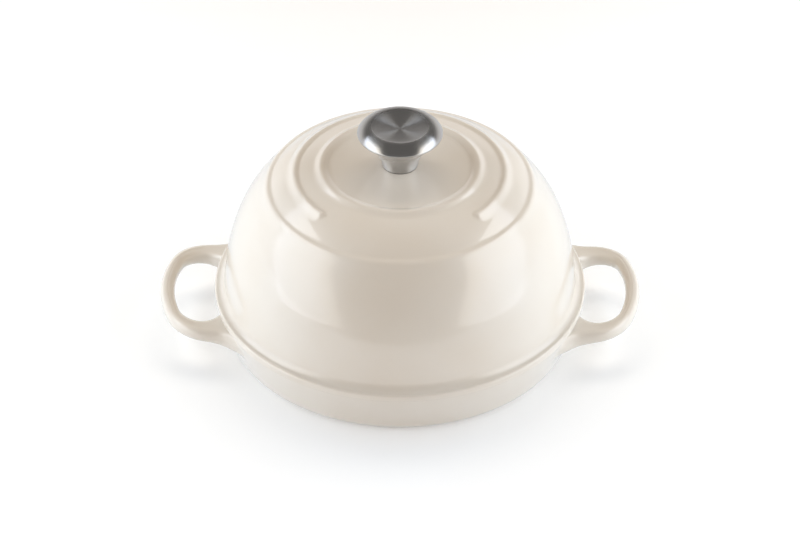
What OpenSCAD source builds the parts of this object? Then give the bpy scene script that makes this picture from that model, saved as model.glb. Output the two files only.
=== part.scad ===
// Domed bread cloche: a low cast pan with two loop handles, and a tall domed
// lid that lifts straight off it and carries a stainless knob.
// Millimetres, +Z up, handles along X, origin at the bottom centre of the pan.

/* [Pan] */
// Outer radius of the pan's rim
pan_rim_r = 125; // [115:0.5:135]
// Radial step from the rim in to the outside of the foot
wall_flare = 12.7; // [10:0.1:16]
// Radius of the rounded corner between the foot and the wall
foot_round = 5; // [3:0.5:7]
// Height of the rim above the table
pan_h = 31; // [28:0.5:38]
// Thickness of the pan's wall
pan_wall = 4.5; // [3.5:0.1:5.5]
// Thickness of the pan's floor
floor_t = 4.5; // [3.5:0.1:6]
// Width of the flat rim that the lid sits on, before its edges are rounded
seat_w = 6.5; // [5.5:0.1:7.5]
// Depth of the upright band inside the rim that locates the lid
seat_depth = 5; // [4.5:0.5:7]
// Radius of the rounded edges of the rim
rim_round = 0.8; // [0.4:0.1:1.2]
// Radius of the rounded corner between the floor and the inside wall
floor_round = 10; // [6:0.5:13]
// Width of the ring that the pan stands on
foot_w = 14.3; // [10:0.1:20]
// Depth of the shallow recess under the floor
under_recess = 1; // [0.6:0.1:1.4]
// Radius of the innermost raised ring on the floor
rib_first_r = 28; // [24:0.5:34]
// Distance from one raised ring on the floor to the next
rib_pitch = 26; // [20:0.5:28]
// Number of raised rings on the floor
rib_count = 3; // [1:1:3]
// Height of the raised rings on the floor
rib_h = 1.2; // [0.8:0.1:1.8]
// Radius of the round section of the raised rings on the floor
rib_round = 2.6; // [2:0.1:3.2]

/* [Handles] */
// Distance from the pan's rim to the outside of each handle
handle_out = 39.2; // [36:0.1:46]
// Half of a handle's outer width where its branches start
handle_half = 50.7; // [47:0.1:56]
// Width of the handle's bowed tip, seen from above
handle_w = 9.5; // [8.5:0.1:11]
// Height of the handle's section
handle_t = 9.4; // [8.2:0.1:11]
// Radius of the handle's rounded edges
handle_edge = 3.8; // [2:0.1:4]
// Radius of the gently curved outer side of a handle
handle_bow = 87; // [80:1:110]
// Outer radius of a handle's two corners
handle_corner = 30; // [27:0.5:33]
// Angle at which the two branches splay towards the pan
handle_splay = 2.5; // [0:0.5:6]
// Angle at which the handles rise away from the pan
handle_rise = 7.5; // [4:0.5:10]
// Drop from the rim to the top of a handle, at the rim's radius
handle_drop = 2.1; // [1.2:0.1:4]
// Half of the length of the hole for the fingers
hole_half = 36.2; // [33:0.1:39]
// Radius of the corners of the hole for the fingers
hole_corner = 15.2; // [12:0.1:16.5]
// Radius of the hollow where a handle's outer side meets the pan
root_r = 18; // [12:0.5:22]

/* [Dome] */
// Overhang of the lid's flange past the pan's rim
lid_over = 1.3; // [0:0.1:4]
// Width of the lid's flange, from its edge in to the foot of the bare dome
flange_w = 6.45; // [5.5:0.05:9]
// Thickness of the lid's flange
flange_t = 5; // [4:0.1:7]
// Radius of the flange's rounded upper edge
flange_round = 1.5; // [0.8:0.1:1.8]
// Radius of the flange's rounded lower edge
flange_under = 0.8; // [0.4:0.1:1.2]
// Height of the bare dome above the pan's rim
dome_h = 102.4; // [94:0.2:112]
// Squareness of the dome's shoulder, seen across
dome_square = 4.1; // [3.4:0.1:4.6]
// Roundness of the dome's side, seen upwards
dome_rise = 1.96; // [1.8:0.02:2.3]
// Thickness of the dome's wall
dome_wall = 4.4; // [3.5:0.1:5.5]
// Radial play between the lid's locating lip and the pan
lip_clear = 1; // [0.5:0.1:1.5]
// Depth of the lid's locating lip below the rim
lip_depth = 3.6; // [2.5:0.1:4.2]
// Thickness of the locating lip
lip_t = 4; // [3:0.1:5]

/* [Rings] */
// Crest radius of the inner raised ring on the dome
ring_1_r = 53.1; // [49:0.1:57]
// Crest radius of the middle raised ring on the dome
ring_2_r = 71.2; // [69:0.1:74]
// Crest radius of the outer raised ring on the dome
ring_3_r = 90; // [88:0.1:93]
// Height of the raised rings
ring_h = 1.7; // [1:0.1:2.2]
// Radial run of the inner face of the two outer rings
ring_in_w = 4.2; // [3:0.1:5]
// Radial run of a ring's soft outer face
ring_out_w = 7; // [5:0.1:8]
// Lean of a ring's outer face towards its crest
ring_lean = 1.6; // [1:0.1:2]
// Half angle of the gap at the front of the middle ring
ring_gap = 47; // [30:0.5:60]
// Radial run of the inner ring's inner face
dish_round = 5.7; // [4:0.1:7]
// Depth of the dished centre below the crest of the inner ring
dish_drop = 1.6; // [1:0.1:2.4]
// Steepness of the dished centre's rise towards the knob
dish_steep = 1.8; // [1.2:0.1:2.5]
// Height of the knob's seat above the bare dome's top
seat_rise = 0.3; // [0:0.1:1]

/* [Knob] */
// Outer radius of the knob's cap
knob_r = 28.5; // [25:0.5:32]
// Height of the knob above its seat on the lid
knob_h = 31; // [28:0.1:34]
// Radius of the crest round the cap's dished top
crest_r = 20.1; // [18:0.1:22.5]
// Height of the crest above the cap's rim
cap_drop = 5.2; // [4:0.1:6.5]
// Half angle of the arc that rounds the cap's shoulder
cap_bulge = 30; // [20:1:40]
// Depth of the dished top
dish_depth = 2.1; // [1:0.1:3]
// Thickness of the cap's sheet
cap_t = 0.8; // [0.6:0.1:1.2]
// Height of the upright edge of the cap's rim
cap_edge = 0.7; // [0.5:0.1:1.2]
// Radius of the stem at its foot
stem_r = 12.2; // [10.5:0.1:13]
// Sharpness of the stem's trumpet flare
stem_flare = 1.8; // [1.2:0.1:2.4]
// Thickness of the stem's wall
stem_wall = 1.6; // [1:0.1:2]
// Thickness of the plate that closes the stem's foot
stem_foot_t = 2; // [1.5:0.1:3]
// Step from the cap's rim to the edge of the stem's flange
stem_step = 0.4; // [0.2:0.1:0.8]
// Thickness of the stem's flange at its edge
stem_edge_t = 0.6; // [0.4:0.1:1]
// Outer radius of the threaded boss inside the stem
boss_r = 7; // [6:0.1:8]
// Height of the threaded boss
boss_h = 13; // [9:0.5:15]
// Step from the stem's foot in to the edge of the base washer
washer_step = 0.4; // [0.2:0.1:0.8]
// Thickness of the washer between the knob and the lid
washer_t = 0.5; // [0.4:0.1:1]

/* [Fastening] */
// Radius of the screw's shank
screw_r = 3; // [2.5:0.1:3.4]
// Radial play of the shank in the lid and the washers
screw_clear = 0.3; // [0.2:0.05:0.6]
// Radial play of the shank in the threaded boss
thread_clear = 0.05; // [0.03:0.01:0.1]
// Depth to which the screw enters the boss
screw_grip = 9; // [6:0.5:12]
// Radius of the screw's head
screw_head_r = 6; // [5:0.1:7]
// Height of the screw's head
screw_head_h = 3.4; // [2.8:0.1:4.5]
// Length of each arm of the cross in the screw's head
cross_arm = 3.2; // [2:0.1:4]
// Width of the cross in the screw's head
cross_w = 1.2; // [0.8:0.1:1.6]
// Depth of the cross in the screw's head
cross_depth = 1.8; // [1:0.1:2.4]
// Outer radius of the spring washer
spring_r = 5.6; // [5:0.1:6.5]
// Thickness of the spring washer
spring_t = 1.5; // [1:0.1:2]
// Width of the split in the spring washer
spring_split = 1; // [0.6:0.1:1.6]
// Radius of the flat pad under the top of the lid
pad_r = 10; // [8:0.5:14]
// Height of the flat pad under the top of the lid
pad_h = 1; // [0.6:0.1:2]

/* [Hidden] */
$fn = 96;
cream = "antiquewhite";
steel = "silver";
overrun = 1;
hair = 0.05;
sink_a = 1;
arc_steps = 6;
dome_steps = 44;
disc_steps = 10;
cap_steps = 10;
stem_steps = 14;
ring_steps = 8;
share_in = 0.75;
share_out = 0.6;
flare_end = 10;
inside_a = 5;

foot_r = pan_rim_r - wall_flare;
foot_ring_r = foot_r - foot_w;
floor_z = under_recess + floor_t;
seat_in_r = pan_rim_r - seat_w;
handle_z = pan_h - handle_drop - handle_t / 2;
lid_rim_r = pan_rim_r + lid_over;
dome_r = lid_rim_r - flange_w;
lip_r = seat_in_r - lip_clear;
lip_in_r = lip_r - lip_t;
lid_inner_r = dome_r - dome_wall;
lid_inner_h = dome_h - dome_wall;
knob_seat_z = pan_h + dome_h + seat_rise;
stem_z = knob_seat_z + washer_t;
crest_z = knob_seat_z + knob_h;
cap_rim_z = crest_z - cap_drop;
flange_top_z = cap_rim_z - cap_edge;
flange_r = knob_r - stem_step;
hole_r = screw_r + screw_clear;
pad_z = pan_h + lid_inner_h - pad_h;
screw_top_z = stem_z + stem_foot_t + screw_grip;

// Points along a circle of radius r round c, from angle a0 to angle a1
function arc(c, r, a0, a1, n = arc_steps) =
    [for (i = [0:n]) let (a = a0 + (a1 - a0) * i / n) c + r * [cos(a), sin(a)]];

// Angle at which a line from point p touches the lower right of a circle round c
function touch_angle(c, r, p) = atan2(p.y - c.y, p.x - c.x) - acos(r / norm(p - c));

// Outer radius of the pan's sloping wall at a height
function wall_at(z) = let (low_r = foot_r + foot_round, rim_z = pan_h - rim_round)
    low_r + (pan_rim_r - low_r) * (z - foot_round) / (rim_z - foot_round);

// Radius of the bare dome's outside at a height above the rim
function dome_at(z) = dome_r * pow(1 - pow(z / dome_h, dome_rise), 1 / dome_square);

// Height of the bare dome's outside above the rim at a radius
function dome_z(r) = dome_h * pow(1 - pow(r / dome_r, dome_square), 1 / dome_rise);

// Height that a raised ring with its crest at c adds at a radius
function ring_bump(r, c) =
    r > c - ring_in_w && r <= c ? ring_h * (1 + cos(180 * (c - r) / ring_in_w)) / 2
    : r > c && r < c + ring_out_w
    ? ring_h * (1 - cos(180 * pow(1 - (r - c) / ring_out_w, ring_lean))) / 2
    : 0;

// Outline of a handle's section with its outer side at radius r and its inner end at radius r0
function rounded_side(r0, r) = concat(
    [[r0, -handle_t / 2]],
    arc([r - handle_edge, handle_edge - handle_t / 2], handle_edge, -90, 0),
    arc([r - handle_edge, handle_t / 2 - handle_edge], handle_edge, 0, 90),
    [[r0, handle_t / 2]]);

// Outline of a cutter that leaves rounded edges round a hollow of radius r
function flared_side(r) = concat(
    [[0, -handle_t / 2 - overrun], [r + handle_edge, -handle_t / 2 - overrun]],
    arc([r + handle_edge, handle_edge - handle_t / 2], handle_edge, 270 - flare_end, 180),
    arc([r + handle_edge, handle_t / 2 - handle_edge], handle_edge, 180, 90 + flare_end),
    [[r + handle_edge, handle_t / 2 + overrun], [0, handle_t / 2 + overrun]]);

// The pan's outside, as a solid of revolution with no hollow in it
module pan_outside() {
    corner = [foot_r, foot_round];
    rim = [pan_rim_r, pan_h - rim_round];
    rotate_extrude() polygon(concat(
        [[0, under_recess], [foot_ring_r - under_recess, under_recess], [foot_ring_r, 0]],
        arc(corner, foot_round, -90, touch_angle(corner, foot_round, rim)),
        arc([pan_rim_r - rim_round, pan_h - rim_round], rim_round, 0, 90),
        [[0, pan_h]]));
}

// The hollow of the pan: upright band, sloping wall, rounded corner and ringed floor
module pan_hollow() {
    wall_r = wall_at(floor_z + floor_round) - pan_wall;
    corner = [wall_r - floor_round, floor_z + floor_round];
    band = [seat_in_r, pan_h - seat_depth];
    rib_a = asin((rib_round - rib_h) / rib_round);
    rib_z = floor_z + rib_h - rib_round;
    rotate_extrude() polygon(concat(
        [[0, floor_z]],
        [for (i = [0:rib_count - 1])
            each arc([rib_first_r + i * rib_pitch, rib_z], rib_round, 180 - rib_a, rib_a)],
        arc(corner, floor_round, -90, touch_angle(corner, floor_round, band)),
        [band, [seat_in_r, pan_h - rim_round]],
        arc([seat_in_r + rim_round, pan_h - rim_round], rim_round, 180, 90),
        [[seat_in_r + rim_round, pan_h + overrun], [0, pan_h + overrun]]));
}

// Filled corner between the pan's wall and the outer side of a handle's branch, with rounded edges.
// The branch's outer side is the line n . x = p.
module root_web(n, p) {
    wall = wall_at(handle_z - handle_t);
    along = [n.y, -n.x];
    q = p + root_r;
    c = q * n + sqrt(pow(wall + root_r, 2) - q * q) * along;
    meet = p * n + sqrt(wall * wall - p * p) * along;
    on_side = c - root_r * n;
    on_wall = c * wall / (wall + root_r);
    sunk = (handle_edge + overrun) * n;
    deep = 1 - seat_w / wall;
    difference() {
        translate([0, 0, hair - handle_t / 2]) linear_extrude(handle_t - 2 * hair)
            polygon([on_side, on_wall, on_wall * deep, meet * deep - sunk, meet - sunk, on_side - sunk]);
        translate(c) rotate_extrude() polygon(flared_side(root_r));
    }
}

// One flat loop on the +X side, with its middle plane at height 0: bowed tip, two corners and two branches.
// The corners are smaller by a hair, so that their ends sink cleanly into the rest.
module loop() {
    bow_x = pan_rim_r + handle_out - handle_bow;
    corner_y = handle_half - handle_corner;
    bow_a = asin(corner_y / (handle_bow - handle_corner));
    corner_x = bow_x + (handle_bow - handle_corner) * cos(bow_a);
    n = [sin(handle_splay), cos(handle_splay)];
    outer_p = n * [corner_x, corner_y] + handle_corner;
    branch = corner_x - seat_in_r * cos(asin(handle_half / seat_in_r));
    translate([bow_x, 0, 0]) rotate([0, 0, -bow_a]) rotate_extrude(angle = 2 * bow_a)
        polygon(rounded_side(handle_bow - handle_corner, handle_bow));
    for (s = [0, 1]) mirror([0, s, 0]) {
        translate([corner_x, corner_y, 0]) rotate([0, 0, bow_a - sink_a])
            rotate_extrude(angle = 90 - handle_splay - bow_a + 2 * sink_a)
            polygon([for (c = rounded_side(0, handle_corner)) c * (1 - hair / handle_corner)]);
        translate([corner_x, corner_y, 0]) rotate([0, 0, 90 - handle_splay]) rotate([90, 0, 180])
            linear_extrude(branch) mirror([1, 0, 0]) polygon(rounded_side(-overrun, handle_corner));
        root_web(n, outer_p);
    }
}

// The hole for the fingers in a loop, out to its bowed side and in to the pan's wall
module finger_hole() {
    bow_x = pan_rim_r + handle_out - handle_bow;
    bow_r = handle_bow - handle_w;
    corner_y = hole_half - hole_corner;
    bow_a = asin(corner_y / (bow_r - hole_corner));
    corner_x = bow_x + (bow_r - hole_corner) * cos(bow_a);
    translate([bow_x, 0, 0]) rotate([0, 0, -bow_a]) rotate_extrude(angle = 2 * bow_a)
        polygon(flared_side(bow_r));
    for (s = [-1, 1]) translate([corner_x, s * corner_y, 0])
        rotate_extrude() polygon(flared_side(hole_corner - hair));
    translate([seat_in_r - seat_w, -corner_y, -handle_t / 2 - overrun])
        cube([corner_x - seat_in_r + seat_w, 2 * corner_y, handle_t + 2 * overrun]);
}

// One loop handle on the +X side, rising away from the pan
module handle() {
    translate([pan_rim_r, 0, handle_z]) rotate([0, -handle_rise, 0]) translate([-pan_rim_r, 0, 0])
        difference() {
            loop();
            finger_hole();
        }
}

module base_pan() {
    color(cream) difference() {
        union() {
            pan_outside();
            for (s = [0, 1]) mirror([s, 0, 0]) handle();
        }
        pan_hollow();
    }
}

// Outline of the dished centre and the inner ring's inner face, from the knob's seat outwards
function centre_points() =
    let (valley_r = ring_1_r - dish_round, crest = dome_z(ring_1_r) + ring_h, valley = crest - dish_drop,
        seat = dome_h + seat_rise)
    concat([for (i = [0:disc_steps]) let (t = i / disc_steps)
            [stem_r + (valley_r - stem_r) * t, valley + (seat - valley) * pow(1 - t, dish_steep)]],
        [for (i = [1:arc_steps]) let (t = i / arc_steps)
            [valley_r + dish_round * t, valley + dish_drop * sin(90 * t)]]);

// Outline of the dome from the inner ring's crest out and down to the flange's hollow
function dome_points() =
    [for (i = [1:dome_steps]) let (t = i / dome_steps, r = ring_1_r + (ring_3_r + ring_out_w - ring_1_r) * t)
        [r, dome_z(r) + ring_bump(r, ring_1_r) + ring_bump(r, ring_3_r)]];

// Outline of the dome's plain side, from the outer ring down to a height
function side_points(end_z) =
    let (top_z = dome_z(ring_3_r + ring_out_w))
    [for (i = [1:dome_steps / 2]) let (z = top_z + (end_z - top_z) * 2 * i / dome_steps) [dome_at(z), z]];

// Rounded flange, from the hollow at the foot of the dome's side to the rim face
function flange_points(hollow_r) = concat(
    arc([dome_at(flange_t + hollow_r) + hollow_r, flange_t + hollow_r], hollow_r, 180, 270),
    arc([lid_rim_r - flange_round, flange_t - flange_round], flange_round, 90, 0),
    arc([lid_rim_r - flange_under, flange_under], flange_under, 0, -90));

// Inside of the dome from its rim up to the pad
function inside_points() =
    [for (i = [1:dome_steps - 1]) let (a = inside_a + (90 - inside_a) * i / dome_steps)
        [lid_inner_r * pow(cos(a), 2 / dome_square), lid_inner_h * pow(sin(a), 2 / dome_rise)]];

// The middle ring, open at the front, with a round taper at each end
module open_ring() {
    from_r = ring_2_r - ring_in_w * share_in;
    run = ring_in_w * share_in + ring_out_w * share_out;
    section = concat(
        [for (i = [0:ring_steps]) let (r = from_r + run * i / ring_steps)
            [r, dome_z(r) + ring_bump(r, ring_2_r)]],
        [for (r = [from_r + run, from_r]) [r, dome_z(r) - ring_h]]);
    end_round = ring_in_w + ring_h;
    rotate([0, 0, ring_gap - 90]) rotate_extrude(angle = 360 - 2 * ring_gap) polygon(section);
    for (s = [-1, 1]) intersection() {
        rotate_extrude() polygon(section);
        rotate([0, 0, s * ring_gap - 90])
            translate([ring_2_r, 0, dome_z(ring_2_r) + ring_h - end_round]) sphere(end_round);
    }
}

module dome_lid() {
    hollow_r = lid_rim_r - flange_round - dome_at(2 * flange_t);
    color(cream) translate([0, 0, pan_h]) difference() {
        union() {
            rotate_extrude() polygon(concat(
                [[0, dome_h + seat_rise]], centre_points(), dome_points(), side_points(flange_t + hollow_r),
                flange_points(hollow_r),
                [[lip_r, 0], [lip_r, -lip_depth], [lip_in_r, -lip_depth], [lip_in_r, 0]],
                inside_points(),
                [[pad_r, lid_inner_h], [pad_r, lid_inner_h - pad_h], [0, lid_inner_h - pad_h]]));
            open_ring();
        }
        translate([0, 0, lid_inner_h - pad_h - overrun])
            cylinder(r = hole_r, h = dome_wall + pad_h + seat_rise + 2 * overrun);
    }
}

// Outline of the cap's dish and shoulder, lowered by d to draw the inside of the sheet
function cap_points(d, rim_r) =
    let (dx = rim_r - crest_r, slope = atan2(cap_drop - d, dx),
        r = norm([dx, cap_drop - d]) / (2 * sin(cap_bulge)))
    concat([for (i = [0:cap_steps - 1]) let (t = i / cap_steps)
            [crest_r * t, crest_z - d - dish_depth * (1 - t * t)]],
        [for (i = [0:cap_steps]) let (a0 = slope - cap_bulge, a = a0 + 2 * cap_bulge * i / cap_steps)
            [crest_r + r * (sin(a) - sin(a0)), crest_z - d - r * (cos(a0) - cos(a))]]);

module knob_cap() {
    inner = cap_points(cap_t, knob_r - 2 * cap_t);
    color(steel) rotate_extrude() polygon(concat(
        cap_points(0, knob_r),
        [[knob_r, flange_top_z], [knob_r - 2 * cap_t, flange_top_z]],
        [for (i = [len(inner) - 1:-1:0]) inner[i]]));
}

// Trumpet outline of the stem between two heights, grown or shrunk by d
function stem_points(d, z0) =
    [for (i = [0:stem_steps]) let (z = z0 + (flange_top_z - stem_edge_t - z0) * i / stem_steps,
            t = (z - stem_z) / (flange_top_z - stem_edge_t - stem_z))
        [stem_r + (flange_r - stem_r) * pow(t, stem_flare) + d, z]];

module knob_stem() {
    inner = stem_points(-stem_wall, stem_z + stem_foot_t);
    color(steel) difference() {
        rotate_extrude() polygon(concat(
            [[0, stem_z]],
            stem_points(0, stem_z),
            [[flange_r, flange_top_z], [flange_r - stem_wall, flange_top_z]],
            [for (i = [len(inner) - 1:-1:0]) inner[i]],
            [[0, stem_z + stem_foot_t]]));
        translate([0, 0, stem_z - overrun]) cylinder(r = hole_r, h = stem_foot_t + 2 * overrun);
    }
}

module knob_threaded_boss() {
    color(steel) translate([0, 0, stem_z + stem_foot_t]) difference() {
        cylinder(r = boss_r, h = boss_h);
        translate([0, 0, -overrun]) cylinder(r = screw_r + thread_clear, h = boss_h + 2 * overrun);
    }
}

module knob_base_washer() {
    color("dimgray") translate([0, 0, knob_seat_z]) difference() {
        cylinder(r = stem_r - washer_step, h = washer_t);
        translate([0, 0, -overrun]) cylinder(r = hole_r, h = washer_t + 2 * overrun);
    }
}

module knob_screw() {
    head_z = pad_z - spring_t - screw_head_h;
    color(steel) difference() {
        union() {
            translate([0, 0, head_z]) cylinder(r = screw_head_r, h = screw_head_h);
            translate([0, 0, head_z]) cylinder(r = screw_r, h = screw_top_z - head_z);
        }
        for (a = [0, 90]) rotate([0, 0, a])
            translate([-cross_arm, -cross_w / 2, head_z - overrun])
            cube([2 * cross_arm, cross_w, cross_depth + overrun]);
    }
}

module spring_washer() {
    color(steel) translate([0, 0, pad_z - spring_t]) difference() {
        cylinder(r = spring_r, h = spring_t);
        translate([0, 0, -overrun]) cylinder(r = hole_r, h = spring_t + 2 * overrun);
        translate([-spring_split / 2, 0, -overrun])
            cube([spring_split, spring_r + overrun, spring_t + 2 * overrun]);
    }
}

base_pan();
dome_lid();
knob_cap();
knob_stem();
knob_threaded_boss();
knob_base_washer();
knob_screw();
spring_washer();
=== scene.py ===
# %% [markdown]
# # A domed bread cloche in cream enamel
# The object is a low iron pan with two loop handles and a tall domed lid with a stainless knob.
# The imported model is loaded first. It fixes every size and place, so each new piece is made
# straight in its own position, in metres, and rides on the pan or on the lid.

# %% Load the frame
import math

import bmesh
import bpy
from mathutils import Matrix, Vector


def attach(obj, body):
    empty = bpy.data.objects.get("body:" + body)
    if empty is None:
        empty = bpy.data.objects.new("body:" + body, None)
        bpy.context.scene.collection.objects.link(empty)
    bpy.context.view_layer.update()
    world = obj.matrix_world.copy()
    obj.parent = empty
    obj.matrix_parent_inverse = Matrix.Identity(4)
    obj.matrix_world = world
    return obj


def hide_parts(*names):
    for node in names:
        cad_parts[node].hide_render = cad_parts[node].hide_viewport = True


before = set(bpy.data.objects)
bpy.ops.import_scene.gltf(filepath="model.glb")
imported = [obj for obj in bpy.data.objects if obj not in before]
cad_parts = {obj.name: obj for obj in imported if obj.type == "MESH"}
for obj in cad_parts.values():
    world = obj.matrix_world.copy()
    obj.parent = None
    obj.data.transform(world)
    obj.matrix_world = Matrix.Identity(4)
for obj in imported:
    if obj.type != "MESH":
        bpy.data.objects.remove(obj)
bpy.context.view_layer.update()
MM = 0.001
print("nodes", sorted(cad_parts))

# %% [markdown]
# ## The camera
# The photograph looks down on the cloche from a little over a third of a right angle, from far
# away with a long lens, so the rings are nearly true ellipses. The camera goes first, because
# every later choice is judged from it.

# %% Camera
PHOTO_W = 800
CAMERA_TILT = math.radians(36.87)
CAMERA_TURN = math.radians(0.4)
CAMERA_AWAY = 2.7
TARGET_Z = 0.04703
FOCAL_PX = 3963.7
SENSOR_MM = 36
SHIFT_PX = 0.8

camera_data = bpy.data.cameras.new("camera")
camera_data.sensor_width = SENSOR_MM
camera_data.lens = FOCAL_PX / PHOTO_W * SENSOR_MM
camera = bpy.data.objects.new("camera", camera_data)
bpy.context.scene.collection.objects.link(camera)
reach = CAMERA_AWAY * math.cos(CAMERA_TILT)
camera.location = (
    reach * math.sin(CAMERA_TURN),
    -reach * math.cos(CAMERA_TURN),
    TARGET_Z + CAMERA_AWAY * math.sin(CAMERA_TILT),
)
camera.rotation_euler = (math.pi / 2 - CAMERA_TILT, 0, CAMERA_TURN)
camera_data.shift_y = SHIFT_PX / PHOTO_W
camera_data.clip_start = 0.1
camera_data.clip_end = 50
bpy.context.scene.camera = camera
print("lens in mm", round(camera_data.lens, 1))

# %% [markdown]
# ## Helpers for turned pieces
# Almost everything here is round about one axis, so most pieces are a profile that is spun.
# The profile is a short list of points in millimetres, and its round stretches come from arcs.
# A spin with merging closes the seam, and doubles on the axis are merged into clean poles.


# %% Points on arcs
def arc(centre, radius, start, end, steps=6):
    """Points from angle start to angle end, in degrees, round a centre in a profile."""
    points = []
    for i in range(steps + 1):
        angle = math.radians(start + (end - start) * i / steps)
        points.append((centre[0] + radius * math.cos(angle), centre[1] + radius * math.sin(angle)))
    return points


# %% Spin a profile
def spin_profile(bm, profile, steps, closed=True):
    """Spins points (radius, height) in millimetres round the Z axis inside a bmesh."""
    verts = [bm.verts.new((r * MM, 0, z * MM)) for r, z in profile]
    pairs = list(zip(verts, verts[1:]))
    if closed:
        pairs.append((verts[-1], verts[0]))
    edges = [bm.edges.new(pair) for pair in pairs]
    bmesh.ops.spin(
        bm,
        geom=verts + edges,
        cent=(0, 0, 0),
        axis=(0, 0, 1),
        dvec=(0, 0, 0),
        angle=2 * math.pi,
        steps=steps,
        use_merge=True,
        use_duplicate=False,
    )
    bmesh.ops.remove_doubles(bm, verts=bm.verts[:], dist=1e-6)
    bmesh.ops.recalc_face_normals(bm, faces=bm.faces[:])


# %% Turn a bmesh into a finished object
def finish_piece(bm, name, body, replaced, materials):
    """Makes a smooth-shaded object at the origin that rides on a body."""
    mesh = bpy.data.meshes.new(name)
    bm.to_mesh(mesh)
    bm.free()
    for polygon in mesh.polygons:
        polygon.use_smooth = True
    for material in materials:
        mesh.materials.append(material)
    piece = bpy.data.objects.new(name, mesh)
    bpy.context.scene.collection.objects.link(piece)
    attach(piece, body)
    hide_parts(replaced)
    print(name, len(mesh.polygons), "faces, size in mm", [round(d / MM, 1) for d in piece.dimensions])
    return piece


# %% [markdown]
# ## Shared surface effects
# Enamel is glass melted over rough iron, so it is glossy but never dead flat: it shows a broad
# ripple and a finer skin like orange peel. Both enamels share these as one group. Its output is a
# height for a Bump node and a value that varies the gloss.


# %% A node group with named sockets
def new_group(name, inputs, outputs):
    """Makes a shader group; inputs and outputs are (socket name, socket type, default)."""
    group = bpy.data.node_groups.new(name, "ShaderNodeTree")
    for socket, kind, default in inputs:
        made = group.interface.new_socket(name=socket, in_out="INPUT", socket_type=kind)
        if default is not None:
            made.default_value = default
    for socket, kind, _ in outputs:
        group.interface.new_socket(name=socket, in_out="OUTPUT", socket_type=kind)
    return group, group.nodes.new("NodeGroupInput"), group.nodes.new("NodeGroupOutput")


def noise(tree, vector, scale, detail=2.0):
    """A noise texture on given coordinates, in features per metre."""
    node = tree.nodes.new("ShaderNodeTexNoise")
    node.inputs["Scale"].default_value = scale
    node.inputs["Detail"].default_value = detail
    tree.links.new(vector, node.inputs["Vector"])
    return node.outputs["Fac"]


def math_node(tree, operation, a, b):
    """A Math node; a and b are sockets or numbers."""
    node = tree.nodes.new("ShaderNodeMath")
    node.operation = operation
    for value, socket in zip((a, b), node.inputs):
        if isinstance(value, (int, float)):
            socket.default_value = value
        else:
            tree.links.new(value, socket)
    return node.outputs[0]


# %% Enamel skin group
FLOAT = "NodeSocketFloat"
VECTOR = "NodeSocketVector"
RIPPLE_SCALE = 22
PEEL_SCALE = 420
skin_group, skin_in, skin_out = new_group(
    "enamel_skin",
    [("Vector", VECTOR, None), ("Ripple", FLOAT, 1.0), ("Peel", FLOAT, 0.1)],
    [("Height", FLOAT, None), ("Cloud", FLOAT, None)],
)
ripple = noise(skin_group, skin_in.outputs["Vector"], RIPPLE_SCALE, 1.0)
peel = noise(skin_group, skin_in.outputs["Vector"], PEEL_SCALE, 1.0)
height = math_node(
    skin_group,
    "ADD",
    math_node(skin_group, "MULTIPLY", ripple, skin_in.outputs["Ripple"]),
    math_node(skin_group, "MULTIPLY", peel, skin_in.outputs["Peel"]),
)
skin_group.links.new(height, skin_out.inputs["Height"])
skin_group.links.new(ripple, skin_out.inputs["Cloud"])
print("group", skin_group.name, [s.name for s in skin_group.interface.items_tree])


# %% Start a material
def new_material(name):
    """A material with its shader and Object coordinates."""
    material = bpy.data.materials.new(name)
    material.use_nodes = True
    tree = material.node_tree
    shader = tree.nodes["Principled BSDF"]
    coords = tree.nodes.new("ShaderNodeTexCoord").outputs["Object"]
    return material, tree, shader, coords


def ramp(tree, factor, stops):
    """A colour ramp; stops are (position, colour)."""
    node = tree.nodes.new("ShaderNodeValToRGB")
    for i, (position, colour) in enumerate(stops):
        element = node.color_ramp.elements[i] if i < 2 else node.color_ramp.elements.new(position)
        element.position = position
        element.color = (*colour, 1)
    tree.links.new(factor, node.inputs["Fac"])
    return node.outputs["Color"]


def bump(tree, height_socket, strength, distance):
    """A Bump node on a height; distance is in metres."""
    node = tree.nodes.new("ShaderNodeBump")
    node.inputs["Strength"].default_value = strength
    node.inputs["Distance"].default_value = distance
    tree.links.new(height_socket, node.inputs["Height"])
    return node.outputs["Normal"]


# %% [markdown]
# ## Cream enamel
# The outside is a warm cream glaze. Its colour drifts very slightly where the glaze is thicker,
# and its gloss is high but a little soft, so the reflections of the soft boxes have blurred edges.


# %% Cream enamel material
def make_cream_enamel():
    material, tree, shader, coords = new_material("cream_enamel")
    skin = tree.nodes.new("ShaderNodeGroup")
    skin.node_tree = skin_group
    skin.inputs["Ripple"].default_value = 1.0
    skin.inputs["Peel"].default_value = 0.05
    tree.links.new(coords, skin.inputs["Vector"])
    colour = ramp(
        tree, skin.outputs["Cloud"], [(0.3, (0.73, 0.665, 0.58)), (0.7, (0.75, 0.695, 0.62))]
    )
    tree.links.new(colour, shader.inputs["Base Color"])
    rough = tree.nodes.new("ShaderNodeMapRange")
    rough.inputs["To Min"].default_value = 0.26
    rough.inputs["To Max"].default_value = 0.32
    tree.links.new(skin.outputs["Cloud"], rough.inputs["Value"])
    tree.links.new(rough.outputs["Result"], shader.inputs["Roughness"])
    tree.links.new(bump(tree, skin.outputs["Height"], 0.25, 0.0004), shader.inputs["Normal"])
    shader.inputs["IOR"].default_value = 1.52
    shader.inputs["Coat Weight"].default_value = 1.0
    shader.inputs["Coat Roughness"].default_value = 0.03
    shader.inputs["Coat IOR"].default_value = 1.6
    return material


cream_enamel = make_cream_enamel()

# %% [markdown]
# ## Black enamel inside
# The inside of such a cloche has a satin black enamel that stands the oven's heat. It has a fine
# grain, with tiny paler specks, and a much softer shine than the cream.


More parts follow.
